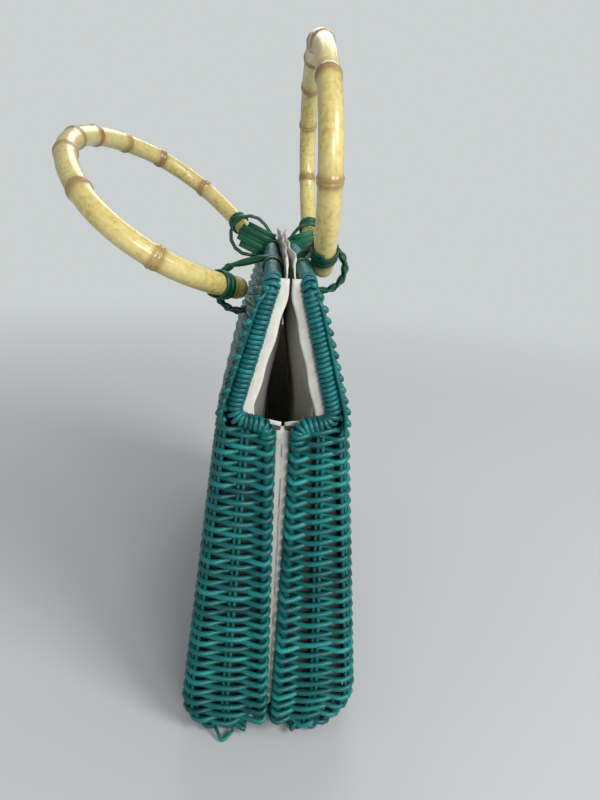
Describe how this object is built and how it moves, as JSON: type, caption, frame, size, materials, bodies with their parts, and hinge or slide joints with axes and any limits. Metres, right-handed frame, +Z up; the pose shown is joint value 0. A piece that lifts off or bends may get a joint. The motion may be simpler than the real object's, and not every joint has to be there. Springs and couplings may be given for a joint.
{
  "type": "basket box bag",
  "caption": "Hinged box bag of dyed wicker in two lined halves that open like a clamshell along the base, with bamboo bow handles tied to the rims.",
  "frame": {"origin": "middle of the base, on the seam between the two halves", "axes": "+X along the bag's length, +Y across from the front half to the back half, +Z up"},
  "size_m": [0.259, 0.1576, 0.3257],
  "materials": {
    "wicker": "dyed teal green reed, satin",
    "wicker_binding": "dyed teal green wrapped reed, satin",
    "linen": "off-white plain weave linen, matt",
    "bamboo": "lacquered cream bamboo, glossy",
    "strap": "dyed green strap, satin"
  },
  "bodies": {
    "front_half": {"front_weave": "wicker", "front_frame_rod": "wicker", "front_binding": "wicker_binding", "front_lining": "linen", "front_near_tie_loop": "strap", "front_far_tie_loop": "strap", "left_hinge_lashing": "strap", "middle_hinge_lashing": "strap", "right_hinge_lashing": "strap"},
    "back_half": {"back_weave": "wicker", "back_frame_rod": "wicker", "back_binding": "wicker_binding", "back_lining": "linen", "back_near_tie_loop": "strap", "back_far_tie_loop": "strap"},
    "front_bow": {"front_handle": "bamboo", "front_near_tie_band": "strap", "front_far_tie_band": "strap"},
    "back_bow": {"back_handle": "bamboo", "back_near_tie_band": "strap", "back_far_tie_band": "strap"}
  },
  "joints": [
    {"name": "clamshell_hinge", "type": "hinge", "parent": "front_half", "child": "back_half", "pos_m": [0, 0.0039, 0.005], "axis": [-1, 0, 0], "range_deg": [0, 95]},
    {"name": "front_handle_swing", "type": "hinge", "parent": "front_half", "child": "front_bow", "pos_m": [0.0002, -0.0223, 0.2109], "axis": [-0.9835, 0.0181, 0.1803], "range_deg": [0, 60]},
    {"name": "back_handle_swing", "type": "hinge", "parent": "back_half", "child": "back_bow", "pos_m": [-0.0003, 0.0173, 0.2156], "axis": [-0.9995, 0, 0.032], "range_deg": [0, 60]}
  ]
}
